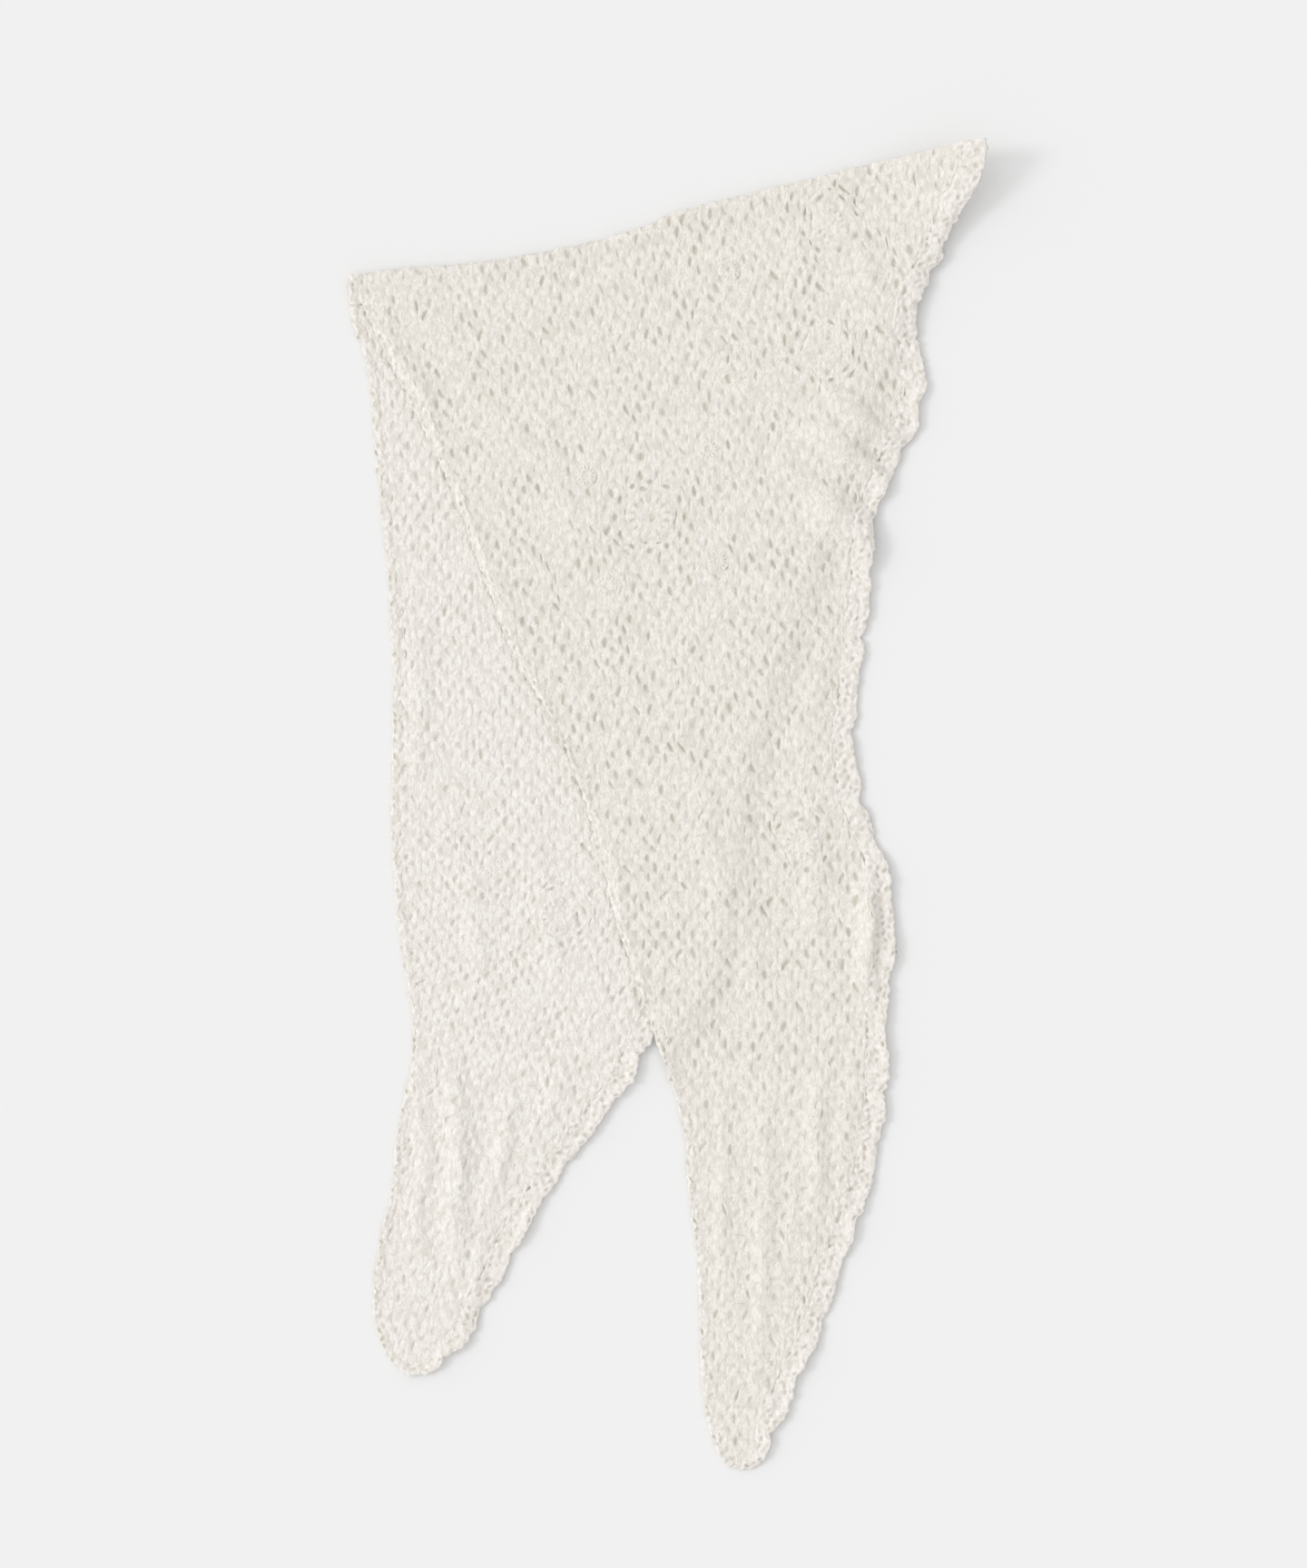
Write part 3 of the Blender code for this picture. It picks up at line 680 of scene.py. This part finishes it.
def lace_pieces(names, whole, material, way_on):
    """The net as walls of lace on a half, in two pieces that meet along a row, the top one first."""
    along = whole.faces.layers.float["along"]
    crease = whole.edges.layers.float.new("crease_edge")
    point_crease = whole.verts.layers.float.new("crease_vert")
    rows = sorted(face[along] for face in whole.faces)
    middle = rows[len(rows) // 2]
    for edge in whole.edges:
        if len({face[along] > middle for face in edge.link_faces}) == 2:
            edge[crease] = 1.0
            for vert in edge.verts:
                vert[point_crease] = 1.0
    pieces = []
    for name, is_tail in zip(names, (False, True)):
        part = whole.copy()
        along = part.faces.layers.float["along"]
        away = [face for face in part.faces if (face[along] > middle) != is_tail]
        bmesh.ops.delete(part, geom=away, context="FACES")
        underside = list(part.verts)
        grown = bmesh.ops.extrude_face_region(part, geom=part.faces[:])
        rise = part.verts.layers.float["rise"]
        for vert in underside:
            vert.co = way_on(vert.co.xy, UNDERSIDE)
        for item in grown["geom"]:
            if isinstance(item, bmesh.types.BMVert):
                item.co = way_on(item.co.xy, item[rise])
        bmesh.ops.recalc_face_normals(part, faces=part.faces)
        crease = part.edges.layers.float["crease_edge"]
        for edge in part.edges:
            edge.smooth = edge[crease] == 0
        piece = placed(name, part, material)
        softened(piece)
        pieces.append(piece)
    whole.free()
    return pieces


FOLD_MIDDLE = (0, 357)
UNDER_LEANS = [(0, 3), (330, 3), (560, -16)]
# The lower half's pits get less painted shade than the upper half's.
UNDER_PIT_SHADE_SHARE = 0.36
under_neck, under_border = ground_sides(UNDER_SECTIONS, TURN_DEPTH - TURN_OVERLAP)
under_lines = cloth_lines(FOLD_MIDDLE, UNDER_LEANS)
under_net = net(under_lines, under_neck[::-1] + under_border, UNDER_FLOWERS, UNDER_RIDGES,
                UNDER_EYELET_ROWS, UNDER_PIT_SHADE_SHARE)
lace_lower = lace_pieces(("lace_lower_top", "lace_lower_tail"), under_net, single_layer_cotton, on_lower)
for piece in lace_lower:
    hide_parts("under_half")


# The lace ground of the upper half, folded over on top. It is the same cloth: it turns round at
# the fold with a soft round edge and goes on below until it meets the lower half's ground. It
# rests on the lower half, and drops to the surface beside that half's hidden border.
UPPER_REST_HEIGHT = 3.5
NECK_REST_HEIGHT = 2.9
NECK_REST_WIDTH = 16.0
DROP_START = 10.0
DROP_END = 30.0
TURN_RADIUS = 2.6
BEND_MIDDLE = HALF_WALL + TURN_RADIUS
QUARTER_TURN = TURN_RADIUS * math.pi / 2
TURN_BULGE = BEND_MIDDLE + TURN_RADIUS - HALF_WALL - UPPER_REST_HEIGHT

UPPER_SECTIONS = [
    Section(-193, 319, 190, 399),
    Section(-188, 308, 188, 381),
    Section(-182, 297, 176, 356),
    Section(-175, 281, 167, 333),
    Section(-167, 265, 158, 315),
    Section(-158, 247, 151, 300),
    Section(-149, 229, 152, 280),
    Section(-129, 187, 156, 247),
    Section(-112, 140, 140, 205),
    Section(-92, 89, 126, 170),
    Section(-70, 51, 123, 129),
    Section(-53, 11, 117, 77),
    Section(-40, -34, 113, 34),
    Section(-32, -67, 120, -4),
    Section(-22, -97, 133, -38),
    Section(-13, -124, 138, -80),
    Section(-2, -158, 133, -130),
    Section(9, -193, 133, -174),
    Section(13, -234, 126, -223),
    Section(18, -275, 111, -267),
    Section(20, -319, 94, -317),
    Section(22, -363, 74, -363),
    Section(30, -392, 60, -393),
    Section(38, -403, 51, -403),
]
UPPER_RIDGES = [
    Ridge(82, 252, 148, 214, 15, 5.0),
    Ridge(88, 186, 136, 138, 17, 8.0),
    Ridge(126, -30, 123, -128, 13, 5.6, 9),
    Ridge(-176, 306, -130, 202, 6, 3.0),
    Ridge(-140, 222, -84, 84, 6, 1.6),
    Ridge(-92, 102, -40, -20, 6, 1.4),
    Ridge(-44, 0, -10, -130, 6, 1.4),
    Ridge(62, -160, 56, -362, 9, 2.6),
    Ridge(97, -140, 82, -290, 9, 2.6),
    Ridge(36, -170, 34, -330, 7, 1.5),
    Ridge(112, -150, 104, -250, 7, 1.6),
    Ridge(78, -190, 70, -330, 7, 1.5),
    Ridge(40, -20, 62, -150, 12, 1.4),
    Ridge(84, 30, 92, -110, 12, 1.6),
    Ridge(10, 60, 40, -90, 12, 1.1),
    Ridge(100, 110, 78, 20, 13, 1.6),
    Ridge(50, 130, 92, 120, 12, 1.3),
    Ridge(40, 250, 86, 236, 12, 1.4),
    Ridge(-150, 300, -60, 180, 14, 1.0),
    Ridge(-90, 250, -20, 120, 14, 1.0),
    Ridge(-60, 310, 60, 330, 14, 1.0),
    Ridge(112, 350, 132, 280, 12, 1.5),
    Ridge(80, 246, 142, 182, 20, 5.0, 8),
    Ridge(60, 214, 112, 168, 16, 2.2, 8),
    Ridge(104, 320, 150, 296, 14, 2.0, 8),
]
UPPER_FLOWERS = [
    Flower(-10, 173, 16, 12, 0, 1.6, 2.3),
    Flower(99, 350, 12, 8, 20, 1.0),
    Flower(94, 273, 13, 10, 0, 0.3),
    Flower(82, -24, 12, 8, 10, 1.3),
    Flower(-49, 198, 7, 0, 0, 1.0),
    Flower(25, 214, 7, 0, 0, 1.0),
    Flower(31, 146, 7, 0, 0, 1.0),
    Flower(-36, 131, 7, 0, 0, 1.0),
    Flower(38, 322, 7, 0, 0, 1.0),
]
UPPER_EYELET_ROWS = [
    EyeletRow(20, -221, 22, -236, 3, 1.9, 3.4, True),
    EyeletRow(34, -216, 38, -240, 4, 1.9, 3.6, True),
    EyeletRow(45, -262, 45, -366, 6, 2.2, 3.4),
    EyeletRow(70, -220, 61, -334, 6, 2.2, 3.4),
    EyeletRow(88, -190, 77, -300, 6, 2.2, 3.4),
    EyeletRow(4, 80, 24, -40, 7, 2.2, 3.4),
    EyeletRow(-70, 150, -40, 70, 5, 2.2, 3.4),
    EyeletRow(20, 290, 60, 240, 4, 2.6, 2.6),
    EyeletRow(-20, 312, -60, 240, 5, 2.4, 2.8),
    EyeletRow(110, 376, 140, 340, 4, 2.2, 3.8),
    EyeletRow(146, 381, 166, 386, 4, 5.0, 1.6),
    EyeletRow(98, -72, 109, -67, 2, 2.6, 4.4, True),
]
hidden_border = border_line(UNDER_SECTIONS)
hidden_border_tree = searched(hidden_border)
upper_neck_edge = neck_line(UPPER_SECTIONS)
upper_neck_tree = searched(upper_neck_edge)


def on_upper(place, rise=0.0):
    """A place on the upper half, in space. Above the fold it is on the turn's underside."""
    foot, run, above = nearest_on(place, fold_line, fold_tree)
    down = Vector((run.y, -run.x))
    depth = -above
    if abs(depth) < QUARTER_TURN:
        angle = depth / TURN_RADIUS
        spot = foot + down * (BEND_MIDDLE - (TURN_RADIUS + rise) * math.cos(angle))
        return Vector((*spot, BEND_MIDDLE + (TURN_RADIUS + rise) * math.sin(angle) + tip_lift(spot)))
    if depth < 0:
        spot = foot + down * (BEND_MIDDLE - depth - QUARTER_TURN)
        return Vector((*spot, max(HALF_WALL - rise, LEAST_HEIGHT) + tip_lift(spot)))
    level = 1 - smooth_step((depth - QUARTER_TURN) / (TURN_DEPTH - QUARTER_TURN))
    spot = place + down * (BEND_MIDDLE - QUARTER_TURN) * level
    past = nearest_on(spot, hidden_border, hidden_border_tree)[2]
    drop = smooth_step((past - DROP_START) / (DROP_END - DROP_START))
    near_neck = 1 - smooth_step(nearest_on(spot, upper_neck_edge, upper_neck_tree)[2] / NECK_REST_WIDTH)
    rest = UPPER_REST_HEIGHT - (UPPER_REST_HEIGHT - NECK_REST_HEIGHT) * near_neck * (1 - level)
    rest = rest * (1 - drop) + TURN_BULGE * level + ridge_lift(spot, UPPER_RIDGES)
    return Vector((*spot, max(HALF_WALL + rise, LEAST_HEIGHT) + rest + tip_lift(spot)))


def unfolded(place):
    """A place under the turn as the place above the fold that the flat cloth has there."""
    foot, run, above = nearest_on(place, fold_line, fold_tree)
    down = Vector((run.y, -run.x))
    return foot - down * max(QUARTER_TURN - above - BEND_MIDDLE, 0)


def under_turn(line):
    """The stretch of a line on the lower half that the turn covers, unfolded, outermost first."""
    kept = [p for p in line if -nearest_on(p, fold_line, fold_tree)[2] <= TURN_DEPTH]
    return [unfolded(p) for p in kept][::-1]


UPPER_LEANS = [(0, 11.5), (300, 8), (560, -5)]
# The folded upper half's pits get twice the lower's painted shade, for the shade of the lower half seen
# through them.
UPPER_PIT_SHADE_SHARE = 0.74
upper_neck, upper_border = ground_sides(UPPER_SECTIONS, 0)
turned_neck, turned_border = (under_turn(side) for side in ground_sides(UNDER_SECTIONS, 0))
upper_sides = upper_neck[::-1] + turned_neck[::-1] + turned_border + upper_border
upper_lines = cloth_lines(FOLD_MIDDLE, UPPER_LEANS)
upper_net = net(upper_lines, upper_sides, UPPER_FLOWERS, UPPER_RIDGES, UPPER_EYELET_ROWS,
                UPPER_PIT_SHADE_SHARE)
lace_upper = lace_pieces(("lace_upper_top", "lace_upper_tail"), upper_net, folded_cotton_shaded, on_upper)
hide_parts("upper_half", "fold_turn")
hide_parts("upper_half")


# The flowers: thick round discs worked first, with the ground worked on round them. Each has a
# small eye where the yarn's first ring is drawn in, and a ring of small slots round it.
CROWN_RISE = 0.75
CROWN_PER_RELIEF = 0.3
RIBS = 14
RIB_SLOT_DEPTH = 0.8
RIB_SLOT_START = 0.57
RIB_SLOT_END = 0.78
# Painted shade in the slots, and in the flowers' eyes per millimetre of the eye's radius.
SLOT_SHADE = 0.7
EYE_SHADE = 0.8
EYE_PIT = -0.9
EYE_FLOOR = -1.2
PINHOLE = 0.3
LOBE_SHARE = 0.05
SPIN_STEPS = 56


def add_flower(name, flower, material, way_on):
    """One flower, spun from its section and laid on its half."""
    eye, radius = flower.eye, flower.radius
    crown = CROWN_RISE + CROWN_PER_RELIEF * flower.relief
    section = [(PINHOLE, EYE_FLOOR), (PINHOLE, EYE_PIT), (eye, EYE_PIT), (eye + 1.0, crown),
               (radius * 0.40, crown * 0.9), (radius * 0.54, crown), (radius * 0.60, crown),
               (radius * 0.75, crown), (radius * 0.84, crown), (radius * 1.0, 0.3),
               (radius * 0.98, UNDERSIDE + 0.2), (eye + 1.2, UNDERSIDE), (eye + 0.7, EYE_FLOOR)]
    bm = bmesh.new()
    painted_shade_layer = bm.verts.layers.float.new("depth")
    verts = [bm.verts.new((out, 0, rise)) for out, rise in section]
    edges = [bm.edges.new((a, b)) for a, b in zip(verts, verts[1:] + verts[:1])]
    bmesh.ops.spin(bm, geom=verts + edges, cent=(0, 0, 0), axis=(0, 0, 1), angle=2 * math.pi,
                   steps=SPIN_STEPS, use_merge=True)
    bmesh.ops.remove_doubles(bm, verts=bm.verts, dist=0.001)
    bmesh.ops.recalc_face_normals(bm, faces=bm.faces)
    for vert in bm.verts:
        out = vert.co.xy.length
        angle = math.atan2(vert.co.y, vert.co.x)
        share = out / radius
        lobes = 1 + LOBE_SHARE * share * math.cos(RIBS * angle)
        rise = vert.co.z
        # Painted shade: the rib slots and the eye are darkened towards the shade colour, the eye past it
        # to a warm brown.
        if RIB_SLOT_START < share < RIB_SLOT_END and rise > 0:
            slot = max(-math.cos(RIBS * angle), 0)
            vert[painted_shade_layer] = SLOT_SHADE * slot
            rise -= RIB_SLOT_DEPTH * slot
        elif out < eye + 0.1:
            vert[painted_shade_layer] = EYE_SHADE * eye
        vert.co = way_on(Vector((flower.x, flower.y)) + vert.co.xy * lobes, rise)
    piece = placed(name, bm, material)
    softened(piece)
    return piece


lower_flowers = [add_flower(f"flower_lower_{i + 1}", flower, single_layer_cotton, on_lower)
                 for i, flower in enumerate(UNDER_FLOWERS)]
upper_flowers = [add_flower(f"flower_upper_{i + 1}", flower, folded_cotton_shaded, on_upper)
                 for i, flower in enumerate(UPPER_FLOWERS)]


# The neck edging: a narrow band worked along the straight side, a little thicker than the ground
# and soft at its edge. It runs on round the fold from the one half to the other.
edging_cotton = cotton_yarn("spun_cotton_edging", "#F9F5EF", "#E9E4DC")
BAND_STEP = 0.95
BAND_SHARES = [i / 17 for i in range(18)]
UNDERSIDE_SHARES = (0.98, 0.74, 0.5, 0.26, 0.02)
EDGING_BAND_WIDTH = 8.0
EDGING_RAGGEDNESS = 1.2
EDGING_CURL = 0.5
SLOT_ROW = 5.1
SLOT_COLUMN = 4.4
SLOT_HALF_WIDTH = 0.30
SLOT_HALF_LENGTH = 0.40
SLOT_SINK = 1.1
SLOT_SWAY = 2.2
SLOT_SWAY_LENGTH = 6.0
SLOT_OPENNESS = 0.6
SLOT_CHANCE = 1.3
SLOT_CHANCE_CLOSENESS = 1.37
BAND_CROWN = 1.1
BAND_ROUND_WIDTH = 9.0
BAND_PUFF = 0.9
BAND_PUFF_CLOSENESS = 0.33
INNER_SINK = 1.1
INNER_WAVE = 3.0
INNER_WAVE_LENGTH = 7.0
CURL_WIDTH = 8.0
CURL_START = 30.0
LEAST_CURL = 0.8
CURL_WAVE_LENGTH = 24.0
RAGGED_LENGTH = 3.1


def wander(distance, length, row):
    """A smooth uneven value along a line. Each use has a row of the noise of its own."""
    return noise.noise(Vector((distance / length, row, 0.5)))


def slot_depth(along, across):
    """How deep a slot between the stitches is at a place on a band, from 0 to 1. The slots are
    set like bricks, and some are closed."""
    sway = noise.noise_vector(Vector((along, across, 0)) / SLOT_SWAY_LENGTH) * SLOT_SWAY
    column = (across + sway.x) / SLOT_COLUMN
    row = (along + sway.y) / SLOT_ROW + 0.5 * (math.floor(column) % 2)
    own = Vector((math.floor(row), math.floor(column), 0.5)) * SLOT_CHANCE_CLOSENESS
    chance = SLOT_OPENNESS + SLOT_CHANCE * noise.noise(own)
    aside = (column % 1 - 0.5) / SLOT_HALF_WIDTH
    ahead = (row % 1 - 0.5) / SLOT_HALF_LENGTH
    return max(1 - aside * aside - ahead * ahead, 0) * min(max(chance, 0), 1)


def sleeve(rings):
    """A closed wall through rings of points, closed at both ends. Each point comes with how much
    painted shade it has between the stitches."""
    bm = bmesh.new()
    along, around = len(rings) - 1, len(rings[0])
    bmesh.ops.create_grid(bm, x_segments=along, y_segments=around, size=0.5)
    painted_shade_layer = bm.verts.layers.float.new("depth")
    for vert in bm.verts:
        i = round((vert.co.x + 0.5) * along)
        j = round((vert.co.y + 0.5) * around) % around
        vert.co, vert[painted_shade_layer] = rings[i][j]
    bmesh.ops.remove_doubles(bm, verts=bm.verts, dist=0.001)
    bmesh.ops.holes_fill(bm, edges=[edge for edge in bm.edges if edge.is_boundary], sides=0)
    bmesh.ops.recalc_face_normals(bm, faces=bm.faces)
    return bm


def add_band(name, edges, material, curl, curl_below, way_on):
    """A band from its outer to its inner edge, thickest near the outer one, where it curls up a
    little. It sinks into the ground at the inner one. The curl starts below a height in the
    outline."""
    rings = []
    for i, (outer, inner) in enumerate(edges):
        width = (inner - outer).length
        along = i * BAND_STEP
        lift = curl * (LEAST_CURL + wander(along, CURL_WAVE_LENGTH, 3))
        lift *= smooth_step((curl_below - outer.y) / CURL_START)
        wave = INNER_WAVE * wander(along, INNER_WAVE_LENGTH, 5)
        ring = []
        for share in BAND_SHARES:
            across = share * width
            depth = slot_depth(along, across)
            rise = BAND_CROWN * math.sqrt(math.sin(math.pi * min(0.04 + across / BAND_ROUND_WIDTH, 0.5)))
            puff = noise.noise(Vector((along, across, 0)) * BAND_PUFF_CLOSENESS)
            rise += BAND_PUFF * puff - SLOT_SINK * depth
            rise -= INNER_SINK * smooth_step((across - width + wave) / (EDGE_OVERLAP + 2) + 1)
            raised = Vector((0, 0, lift * (1 - smooth_step(across / CURL_WIDTH))))
            # The slots between the stitches dip, and they also get painted shade.
            ring.append((way_on(outer.lerp(inner, share), rise) + raised, SLOT_SHADE * depth))
        for share in UNDERSIDE_SHARES:
            raised = Vector((0, 0, lift * (1 - smooth_step(share * width / CURL_WIDTH))))
            ring.append((way_on(outer.lerp(inner, share), UNDERSIDE) + raised, 0))
        rings.append(ring)
    return placed(name, sleeve(rings), material)


def add_edging(name, line, way_on):
    """The edging along a neck line."""
    edges = []
    for i, (point, normal) in enumerate(zip(line, left_normals(line))):
        ragged = EDGING_RAGGEDNESS * wander(i * BAND_STEP, RAGGED_LENGTH, 7)
        edges.append((point + normal * ragged, point + normal * EDGING_BAND_WIDTH))
    piece = add_band(name, edges, edging_cotton, EDGING_CURL, TIP.y, way_on)
    return piece


under_neck_fine = neck_line(UNDER_SECTIONS, BAND_STEP)
turned_neck_fine = under_turn(under_neck_fine)
edging_lower = add_edging("rolled_edging_lower", below_fold(under_neck_fine, TURN_DEPTH - TURN_OVERLAP),
                          on_lower)
edging_upper = add_edging("rolled_edging_upper",
                          turned_neck_fine[:-2] + neck_line(UPPER_SECTIONS, BAND_STEP)[1:], on_upper)
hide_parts("neck_edging_under")
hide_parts("neck_edging_upper")


# The scalloped border: a band of close stitches along the two short sides, worked last. It turns
# the shawl's point at the free corner and goes on round each tail's end. It rises and falls at
# its edge in shallow uneven scallops, where it lies a little clear of the surface.
border_cotton = cotton_yarn("spun_cotton_border", "#F7F3EE", "#E8E3DB")
SCALLOP_LENGTH = 36.0
SCALLOP_DEPTH = 4.4
LEAST_SCALLOP = 0.65
SCALLOP_UNEVENNESS = 0.9
SCALLOP_DRIFT = 0.45
CORNER_SPREAD = 24.0
EDGE_RAGGEDNESS = 1.6
BORDER_CURL = 2.2
CORNER_BULGE = 3.0
CORNER_BULGE_LENGTH = 44.0


def add_border(name, line, corner, first_scallop, curl_below, way_on):
    """The band along a border line. The corner is the place on the line where it turns a corner,
    and the scallops start at a distance along the line."""
    normals = left_normals(line)
    edges = []
    for i, (point, normal) in enumerate(zip(line, normals)):
        left_to_end = (len(line) - 1 - i) * BAND_STEP
        across = -normal.normalized()
        if corner is not None:
            near = max(1 - abs(i - corner) * BAND_STEP / CORNER_SPREAD, 0)
            bisector = -normals[corner].normalized()
            across = across.lerp(bisector, near)
            across = across / abs(across.dot(normal.normalized())) if i != corner else -normals[corner]
        past = i * BAND_STEP - first_scallop
        drift = SCALLOP_DRIFT * wander(past, SCALLOP_LENGTH, 0)
        uneven = LEAST_SCALLOP + SCALLOP_UNEVENNESS * wander(past, SCALLOP_LENGTH, 5)
        scallop = abs(math.sin(math.pi * (past / SCALLOP_LENGTH + drift))) - 0.5
        scallop *= SCALLOP_DEPTH * uneven
        scallop *= smooth_step(past / SCALLOP_LENGTH) * smooth_step(left_to_end / SCALLOP_LENGTH)
        scallop += EDGE_RAGGEDNESS * wander(past, RAGGED_LENGTH, 9)
        if corner is not None and 0 < i - corner < CORNER_BULGE_LENGTH / BAND_STEP:
            scallop += CORNER_BULGE * math.sin(math.pi * (i - corner) * BAND_STEP / CORNER_BULGE_LENGTH)
        edges.append((point - across.normalized() * scallop, point + across * border_width(left_to_end)))
    piece = add_band(name, edges, border_cotton, BORDER_CURL, curl_below, way_on)
    return piece


def whole_border_line(sections):
    """The line that a border follows, which goes on round the tail's end to the neck edging."""
    points = [(s.border_x, s.border_y) for s in sections]
    return even_line(points + [(sections[-1].neck_x, sections[-1].neck_y)], BAND_STEP)


under_border_fine = whole_border_line(UNDER_SECTIONS)
turned_border_fine = under_turn(under_border_fine)
LOWER_CURL_BELOW = -130
UPPER_CURL_BELOW = 330
border_lower = add_border("scalloped_border_lower",
                          below_fold(under_border_fine, TURN_DEPTH - TURN_OVERLAP), None, 0,
                          LOWER_CURL_BELOW, on_lower)
upper_border_fine = turned_border_fine[:-1] + whole_border_line(UPPER_SECTIONS)
corner = len(turned_border_fine) - 1
border_upper = add_border("scalloped_border_upper", upper_border_fine, corner,
                          corner * BAND_STEP + TURN_DEPTH, UPPER_CURL_BELOW, on_upper)
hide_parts("border_under")
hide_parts("border_upper")
